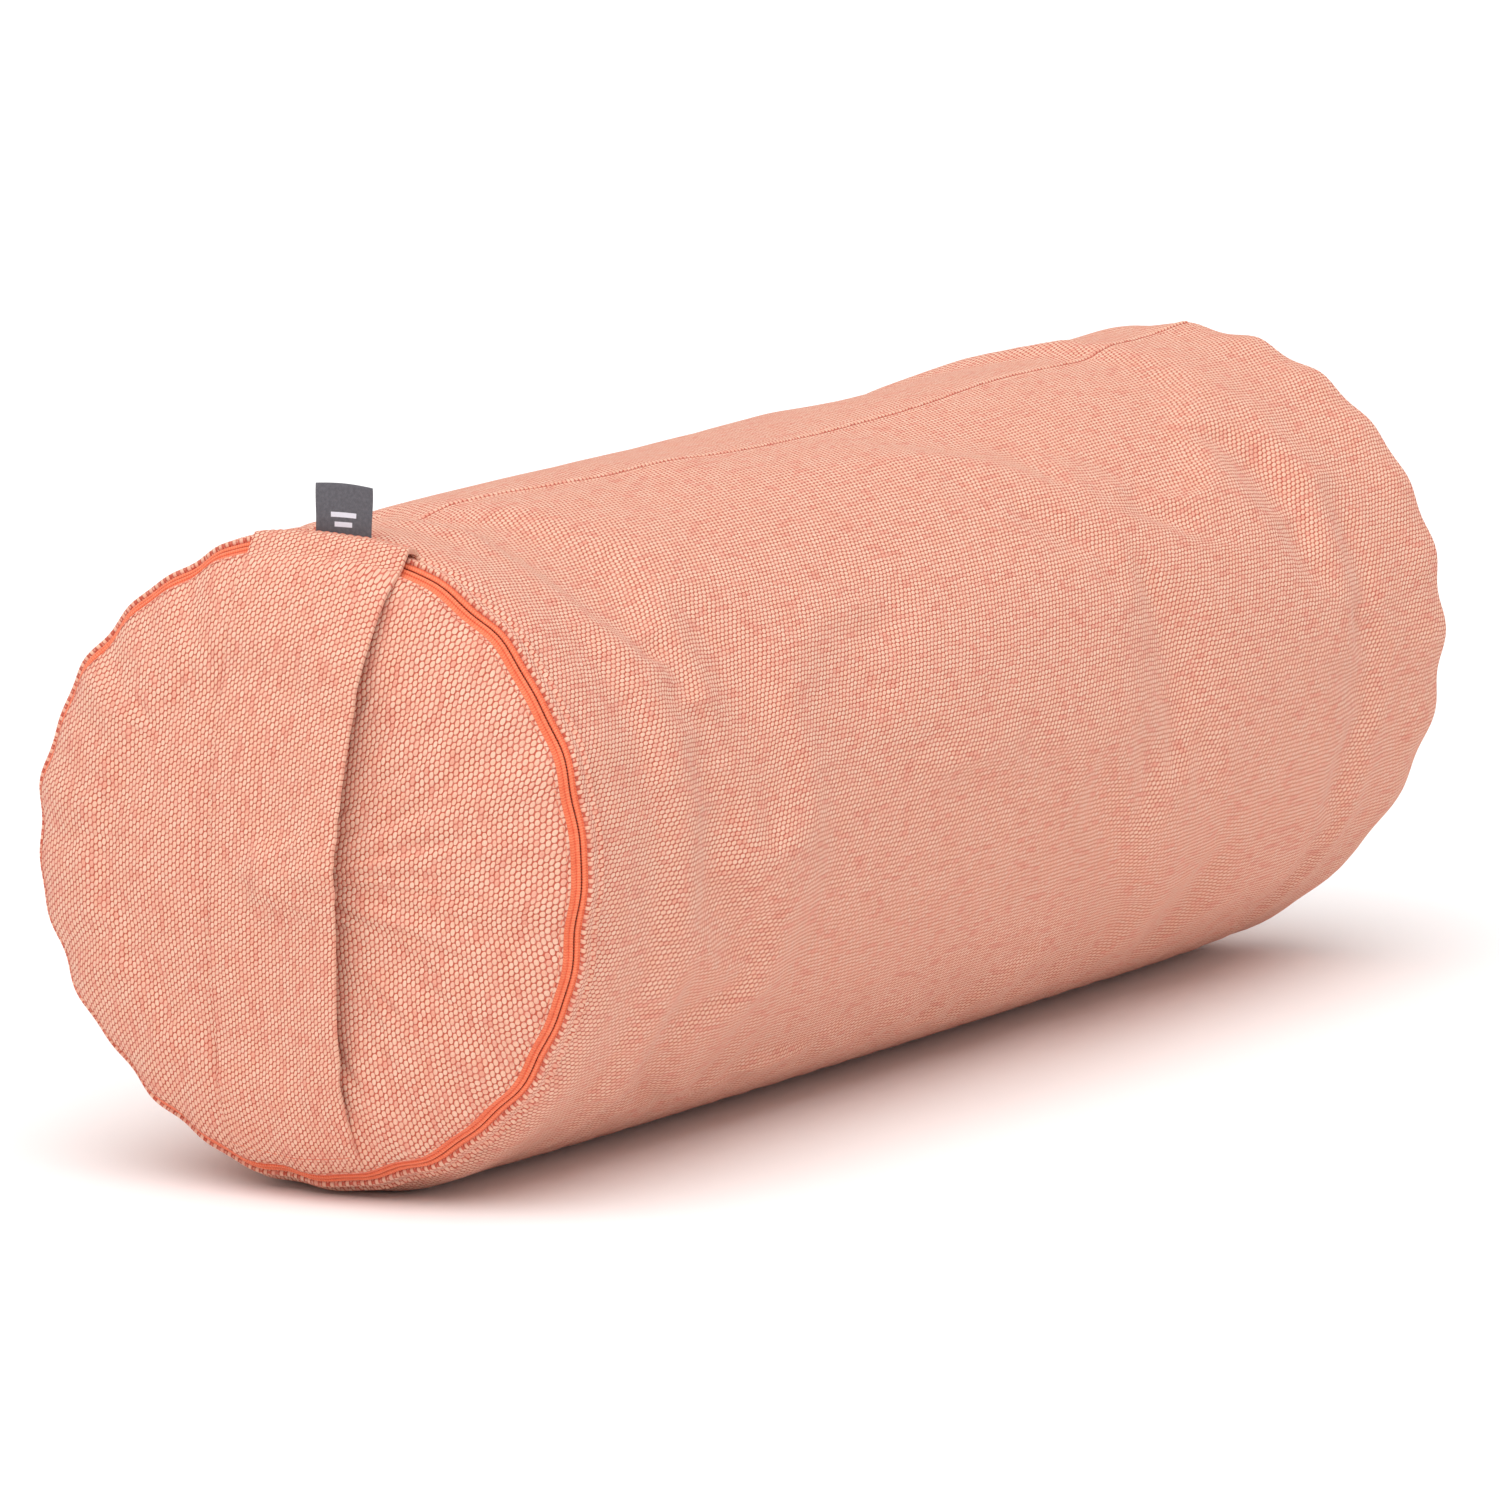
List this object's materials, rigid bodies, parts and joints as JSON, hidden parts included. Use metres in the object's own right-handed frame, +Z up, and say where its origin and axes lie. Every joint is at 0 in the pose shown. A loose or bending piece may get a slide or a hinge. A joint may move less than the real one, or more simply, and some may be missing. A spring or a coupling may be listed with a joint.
{
  "type": "bolster pillow",
  "caption": "Round bolster pillow: woven zip-off cover with a hinged end flap, a carry strap over the end, a side label, and a husk-filled inner bag.",
  "frame": {"origin": "middle of the footprint, on the surface the bolster lies on", "axes": "+Z up, X along the bolster with the zipped end and its strap at -X, Y across it"},
  "size_m": [0.65, 0.225, 0.231],
  "materials": {
    "cover_cloth": "chunky plain weave, cream floats over coral yarn, melange",
    "strap_cloth": "the same chunky weave, folded double",
    "thread": "coral polyester sewing thread",
    "zip_tape": "orange woven zip tape, matt herringbone",
    "zip_teeth": "orange nylon coil",
    "zip_metal": "orange lacquered zinc",
    "label": "dark grey woven damask",
    "care_label": "white satin ribbon, blank",
    "bag_cotton": "unbleached cotton twill",
    "bag_zip": "ecru zip tape and nylon coil",
    "bag_zip_metal": "nickel-plated zinc",
    "husks": "loose spelt husks"
  },
  "bodies": {
    "cover_and_inner_pillow": {"body_panel": "cover_cloth", "length_seam_allowance": "cover_cloth", "length_seam_thread": "thread", "front_seam_allowance": "cover_cloth", "front_seam_thread": "thread", "rear_end_panel": "cover_cloth", "rear_seam_allowance": "cover_cloth", "rear_seam_thread": "thread", "flap_hinge_strip": "cover_cloth", "side_label": "label", "care_label": "care_label", "body_zip_tape": "zip_tape", "body_zip_teeth": "zip_teeth", "body_top_stop": "zip_metal", "zip_bottom_stop": "zip_metal", "inner_bag_tube": "bag_cotton", "inner_bag_front_end": "bag_cotton", "inner_bag_rear_end": "bag_cotton", "inner_zip_tapes": "bag_zip", "inner_zip_teeth": "bag_zip", "inner_zip_stops": "bag_zip_metal", "husk_filling": "husks"},
    "end_flap": {"front_end_panel": "cover_cloth", "flap_seam_thread": "thread", "flap_zip_tape": "zip_tape", "flap_zip_teeth": "zip_teeth", "flap_top_stop": "zip_metal", "strap_top_end": "strap_cloth", "strap_bottom_end": "strap_cloth", "strap_top_stitching": "thread", "strap_bottom_stitching": "thread"},
    "strap_band": {"carry_strap": "strap_cloth"},
    "slider": {"zip_slider": "zip_metal"},
    "pull": {"zip_pull_tab": "zip_metal"},
    "bag_slider": {"inner_zip_slider": "bag_zip_metal"}
  },
  "joints": [
    {"name": "flap_hinge", "type": "hinge", "parent": "cover_and_inner_pillow", "child": "end_flap", "pos_m": [-0.283, 0, 0.2177], "axis": [0, 1, 0], "range_deg": [0, 92]},
    {"name": "zip_slider_run", "type": "hinge", "parent": "cover_and_inner_pillow", "child": "slider", "pos_m": [-0.2865, 0, 0.1095], "axis": [1, 0, 0], "range_deg": [0, 331.3]},
    {"name": "zip_pull_swing", "type": "hinge", "parent": "slider", "child": "pull", "pos_m": [-0.2865, -0.02202, 0.21309], "axis": [1, 0, 0], "range_deg": [0, 158], "deforming": ["strap_top_end", "strap_top_stitching"]},
    {"name": "strap_lift", "type": "slide", "parent": "end_flap", "child": "strap_band", "axis": [-1, 0, 0], "range_m": [0, 0.015]},
    {"name": "inner_zip_slider_run", "type": "slide", "parent": "cover_and_inner_pillow", "child": "bag_slider", "axis": [-1, 0, 0], "range_m": [0, 0.184]}
  ],
  "couplings": [
    {"joint": "zip_slider_run", "follows": "flap_hinge", "ratio": 3.6}
  ]
}
